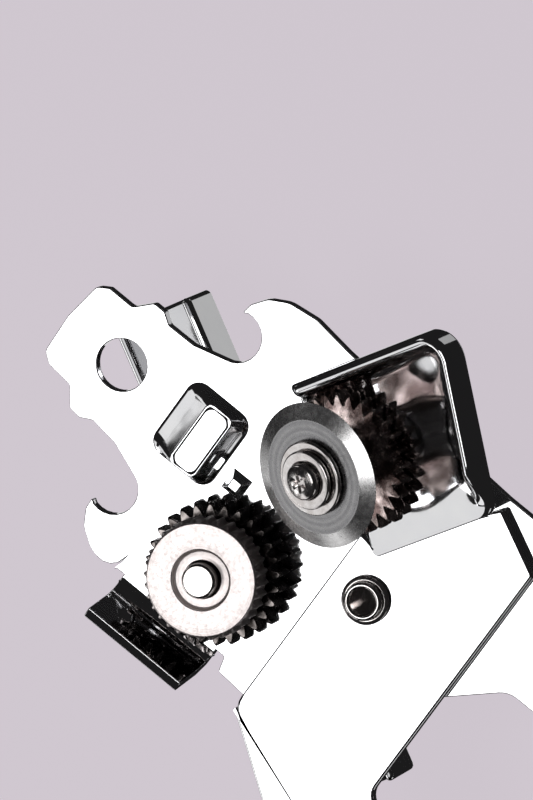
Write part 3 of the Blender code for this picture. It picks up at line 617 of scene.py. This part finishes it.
def plate_face():
    """Height of the rear plate's bright face: just under the bush flange."""
    levels = sorted({round(v.co.z / MM, 2) for v in NODES["rear_plate"].data.vertices})
    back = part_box("rear_plate")[0].z
    return min(level * MM for level in levels if level * MM > back + 0.8 * SHEET)


def rear_plate():
    piece = applied(formed("rear_plate", REAR_EDGE))
    merged(piece, boss())
    finished(piece, "rear_plate", CHROME)


# ---- gears and feed wheel ----

def toothed(teeth, tip, tooth, fullness, level, phase=0.0, steps=LOBE):
    """A ring of round lobes: fullness above 1 widens the teeth."""
    total = teeth * steps
    ring = []
    for i in range(total):
        wave = 0.5 + 0.5 * math.cos(2 * math.pi * i / steps)
        radius = tip - tooth + tooth * wave ** (1 / fullness)
        a = 2 * math.pi * i / total + phase
        ring.append(Vector((radius * math.cos(a), radius * math.sin(a), level)))
    return ring


def gear(node, place, fullness, phase, look):
    """A gear with round teeth and rounded faces."""
    inner, tip, low, high = measure(node, place)
    teeth, tooth, edge = GEAR_TEETH, GEAR_TOOTH, GEAR_EDGE
    steps = teeth * LOBE
    rings = []
    for i in range(6):
        a = math.pi / 2 * i / 5
        drop = edge * (1 - math.sin(a))
        rings.append(toothed(teeth, tip - drop, tooth, fullness, low + edge * (1 - math.cos(a)), phase))
    for i in range(6):
        a = math.pi / 2 * (1 - i / 5)
        drop = edge * (1 - math.sin(a))
        rings.append(toothed(teeth, tip - drop, tooth, fullness, high - edge * (1 - math.cos(a)), phase))
    rings.append(circle(inner, high, steps))
    rings.append(circle(inner, low, steps))
    finished(loft(node + "_form", rings, place, looped=True), node, look)


def feed_wheel():
    """A flat face with round teeth that start below its rim, and a recess round the shaft."""
    inner, tip, low, high = measure("feed_wheel", DRIVE)
    teeth, tooth, rim, rise = WHEEL_TEETH, WHEEL_TOOTH, 0.25 * MM, 0.45 * MM
    recess_r, recess, lip = 4.4 * MM, 0.8 * MM, 0.3 * MM
    face_r = tip - 0.7 * tooth
    steps = teeth * LOBE
    rings = [toothed(teeth, face_r, 0, 1, low), toothed(teeth, tip, tooth, 1.3, low + rim)]
    for i in range(9):
        up = smooth(i / 8)
        rings.append(toothed(teeth, tip + (face_r - tip) * up, tooth * (1 - up), 1.3,
                             high - rim - rise * (1 - i / 8)))
    for i in range(1, 7):
        a = math.pi / 2 * i / 6
        rings.append(circle(face_r - rim * (1 - math.cos(a)), high - rim * (1 - math.sin(a)), steps))
    for i in range(6):
        a = math.pi / 2 * i / 5
        rings.append(circle(recess_r + lip * (1 - math.sin(a)), high - lip * (1 - math.cos(a)), steps))
    for i in range(5):
        a = math.pi / 2 * i / 4
        level = high - recess + lip * (1 - math.sin(a))
        rings.append(circle(recess_r - lip * (1 - math.cos(a)), level, steps))
    rings.append(circle(inner, high - recess, steps))
    rings.append(circle(inner, low, steps))
    finished(loft("feed_wheel_form", rings, DRIVE, looped=True), "feed_wheel", WHEEL)


# ---- turned pieces ----

def collar(node, place, edge, look=BRIGHT):
    """A plain washer, sleeve or disc with rounded edges."""
    inner, outer, low, high = measure(node, place)
    corners = [(inner, low, edge / 2), (outer, low, edge), (outer, high, edge), (inner, high, edge / 2)]
    finished(turned(node + "_form", corners, place), node, look)


def cutter_wheel():
    """The cutter: ground grey disc, a bevel painted light as a highlight, and a chrome back."""
    inner, outer, low, high = measure("cutter_wheel", CUTTER)
    bevel, back, edge = 2.35 * MM, 0.8 * MM, 0.04 * MM
    corners = [(inner, low, 0.1 * MM), (outer - back, low, 0.08 * MM), (outer, -edge, 0), (outer, edge, 0),
               (outer - bevel, high, 0.12 * MM), (inner, high, 0.1 * MM)]
    piece = finished(turned("cutter_wheel_form", corners, CUTTER, steps=144), "cutter_wheel", BLADE)
    # The bevel gets the painted-highlight steel: the face's steel made far lighter.
    piece.data.materials.append(lit_bevel_steel())
    piece.data.materials.append(CHROME["material"])
    for polygon in piece.data.polygons:
        reach = math.hypot(polygon.center.x, polygon.center.y)
        if polygon.center.z < -edge:
            polygon.material_index = 2
        elif reach > outer - bevel:
            polygon.material_index = 1


def cap_screw():
    """A domed screw head with a cross staked into it."""
    _, outer, low, high = measure("cap_screw", CUTTER)
    corners = [(outer, low, 0.08 * MM), (outer, high - 0.35 * MM, 0.5 * MM), (outer * 0.45, high, 1.0 * MM)]
    piece = turned("cap_screw_form", corners, CUTTER, looped=False)
    slot, arm, depth = 0.3 * MM, 1.65 * MM, 0.6 * MM
    for k in range(3):
        turn = Matrix.Rotation(math.radians(60 * k + 15), 4, "Z")
        outline = rounded([(arm, slot, slot * 0.9), (-arm, slot, slot * 0.9), (-arm, -slot, slot * 0.9),
                           (arm, -slot, slot * 0.9)], 4)
        rings = [[(p.x * share, p.y * share, level) for p in outline]
                 for level, share in ((high - depth, 0.55), (high + MM, 1.8))]
        merged(piece, loft("stake", rings, CUTTER @ turn), "DIFFERENCE")
    finished(piece, "cap_screw", BRIGHT)


def pivot_rivet():
    """A hollow rivet: flat head behind, and a rolled lip in front of a low flange."""
    _, head, low, high = measure("pivot_rivet", PIVOT)
    bore, shank, flange = 2.0 * MM, 2.9 * MM, 3.7 * MM
    seat = high - 1.9 * MM
    floor = low + 1.5 * MM
    lip = (shank - bore) / 2
    shape = rounded([(0.001 * MM, low, 0), (head, low, 0.3 * MM), (head, low + 1.2 * MM, 0.3 * MM),
                     (shank, low + 1.2 * MM, 0), (shank, seat, 0), (flange, seat, 0.15 * MM),
                     (flange, seat + 0.5 * MM, 0.25 * MM), (shank, seat + 0.75 * MM, 0.3 * MM)], 5)
    shape += [Vector(p) for p in arc(bore + lip, high - lip, lip, 0, 180, 12)]
    shape += [Vector(p) for p in rounded([(bore, floor, 0), (0.001 * MM, floor, 0)])]
    rings = [circle(p.x, p.y) for p in shape]
    finished(loft("pivot_rivet_form", rings, PIVOT), "pivot_rivet", BRIGHT)


def drive_shaft():
    _, head, low, high = measure("drive_shaft", DRIVE)
    shaft = measure("feed_wheel", DRIVE)[0] - RUNNING_GAP
    corners = [(head - 0.4 * MM, low, 0.4 * MM), (head, low + 1.0 * MM, 0.1 * MM), (shaft, low + 1.0 * MM, 0),
               (shaft, high, 0.5 * MM)]
    finished(turned("drive_shaft_form", corners, DRIVE, looped=False), "drive_shaft", BRIGHT)


def cutter_axle():
    _, head, low, high = measure("cutter_axle", CUTTER)
    axle = measure("cutter_wheel", CUTTER)[0] - RUNNING_GAP
    corners = [(head, low, 0.3 * MM), (head, low + 1.2 * MM, 0.2 * MM), (axle, low + 1.2 * MM, 0),
               (axle, high, 0.15 * MM)]
    finished(turned("cutter_axle_form", corners, CUTTER, looped=False), "cutter_axle", BRIGHT)


# ---- camera, floor and light ----

def camera():
    data = bpy.data.cameras.new("camera")
    data.sensor_width = SENSOR
    data.lens = SENSOR * CAMERA_DISTANCE / FRAME_HEIGHT
    data.clip_start = 0.01
    cam = bpy.data.objects.new("camera", data)
    right = VIEW_UP.cross(VIEW_FROM).normalized()
    up = VIEW_FROM.cross(right)
    turn = Matrix((right, up, VIEW_FROM)).transposed().to_4x4()
    cam.matrix_world = Matrix.Translation(AIM + VIEW_FROM * CAMERA_DISTANCE) @ turn
    bpy.context.scene.collection.objects.link(cam)
    bpy.context.scene.camera = cam


def way_to(azimuth, elevation):
    a, e = math.radians(azimuth), math.radians(elevation)
    return Vector((math.cos(a) * math.cos(e), math.sin(a) * math.cos(e), math.sin(e)))


def softbox(name, way, distance, width, height, radiance, colour=(1, 1, 1)):
    """A rectangular area light of the given radiance that faces the object."""
    data = bpy.data.lights.new(name, "AREA")
    data.shape = "RECTANGLE"
    data.size, data.size_y = width, height
    data.energy = radiance * width * height * math.pi
    data.color = colour
    light = bpy.data.objects.new(name, data)
    light.location = AIM + way.normalized() * distance
    light.rotation_euler = way.to_track_quat("Z", "Y").to_euler()
    bpy.context.scene.collection.objects.link(light)


def card(name, azimuth, elevation, width, height, radiance, distance=400 * MM):
    """A bright card that only reflections see; its width and height are angles in degrees."""
    soup = bmesh.new()
    bmesh.ops.create_grid(soup, x_segments=1, y_segments=1, size=0.5)
    way = way_to(azimuth, elevation)
    size = Matrix.Diagonal((2 * distance * math.tan(math.radians(width / 2)),
                            2 * distance * math.tan(math.radians(height / 2)), 1, 1))
    turn = way.to_track_quat("Z", "Y").to_matrix().to_4x4()
    obj = new_piece(name, soup, Matrix.Translation(AIM + way * distance) @ turn @ size)
    m = bpy.data.materials.new(name)
    m.use_nodes = True
    shader = m.node_tree.nodes["Principled BSDF"]
    shader.inputs["Base Color"].default_value = (0, 0, 0, 1)
    shader.inputs["Emission Color"].default_value = (1, 1, 1, 1)
    shader.inputs["Emission Strength"].default_value = radiance
    obj.data.materials.append(m)
    obj.visible_camera = obj.visible_diffuse = obj.visible_shadow = False


def world(strength, colour):
    sky = bpy.data.worlds.new("studio")
    sky.use_nodes = True
    back = sky.node_tree.nodes["Background"]
    back.inputs["Color"].default_value = (*colour, 1)
    back.inputs["Strength"].default_value = strength
    bpy.context.scene.world = sky


def floor(level, colour, glow):
    """The pale floor; its own glow keeps the shadows light."""
    side = 3.0
    soup = bmesh.new()
    bmesh.ops.create_grid(soup, x_segments=1, y_segments=1, size=side)
    obj = new_piece("floor", soup, Matrix.Translation((0, 0, level)))
    m = bpy.data.materials.new("floor")
    m.use_nodes = True
    shader = m.node_tree.nodes["Principled BSDF"]
    shader.inputs["Base Color"].default_value = (*colour, 1)
    shader.inputs["Roughness"].default_value = 0.9
    shader.inputs["Specular IOR Level"].default_value = 0.1
    shader.inputs["Emission Color"].default_value = (*glow, 1)
    shader.inputs["Emission Strength"].default_value = 1
    obj.data.materials.append(m)
    obj.visible_glossy = False


# ---- everything, piece by piece ----

front_plate()
rear_plate()
gear("drive_gear", DRIVE, 1.0, 0.0, SHADED_GEAR)
gear("cutter_gear", CUTTER, 0.8, math.pi / GEAR_TEETH, LIT_GEAR)
feed_wheel()
cutter_wheel()
cap_screw()
pivot_rivet()
drive_shaft()
cutter_axle()
collar("hub_flange", CUTTER, 0.28 * MM)
collar("hub_cap", CUTTER, 0.28 * MM)
collar("spacer_sleeve", CUTTER, 0.2 * MM)
collar("spacer_washer", DRIVE, 0.15 * MM)
collar("thrust_washer", DRIVE, 0.2 * MM)
collar("crank_collar", DRIVE, 0.4 * MM)
collar("pivot_washer", PIVOT, 0.2 * MM)
for node, width, look in (("crank_key", KEY_EDGE, CHROME), ("shaft_bush", BUSH_EDGE, BRIGHT)):
    finished(formed(node, width, 4), node, look)
for side in ("front", "rear"):
    for kind, width, look in (("handle", HANDLE_EDGE, CHROME), ("grip", GRIP_EDGE, GRIP),
                              ("handle_rivet_1", RIVET_EDGE, BRIGHT), ("handle_rivet_2", RIVET_EDGE, BRIGHT)):
        node = f"{side}_{kind}"
        finished(formed(node, width, 4), node, look)

camera()
bpy.context.scene.view_settings.view_transform = "Standard"
softbox("key", Vector((-0.309, 0.165, 0.937)), 700 * MM, 0.3, 0.3, 2.8)
card("tray_card", 150.6, 21, 26, 22, 0.75)
card("corner_card", 157, 6, 18, 12, 2.2)
card("left_card", 180, 11, 20, 16, 0.85)
card("low_card", 150.5, -22, 28, 18, 0.75)
card("under_card", 152, -70, 26, 26, 0.7)
card("edge_card", 11, -31, 20, 16, 0.35)
card("boss_card", 105, 19, 14, 14, 0.8)
card("boss_foot_card", 252, 0, 26, 18, 0.7)
card("key_card", 330, -69.5, 16, 16, 0.45)
world(0.012, (1, 0.97, 1))
floor(CAD_BOX[0][2] - 0.5 * MM, (0.12, 0.11, 0.12), (0.61, 0.556, 0.61))
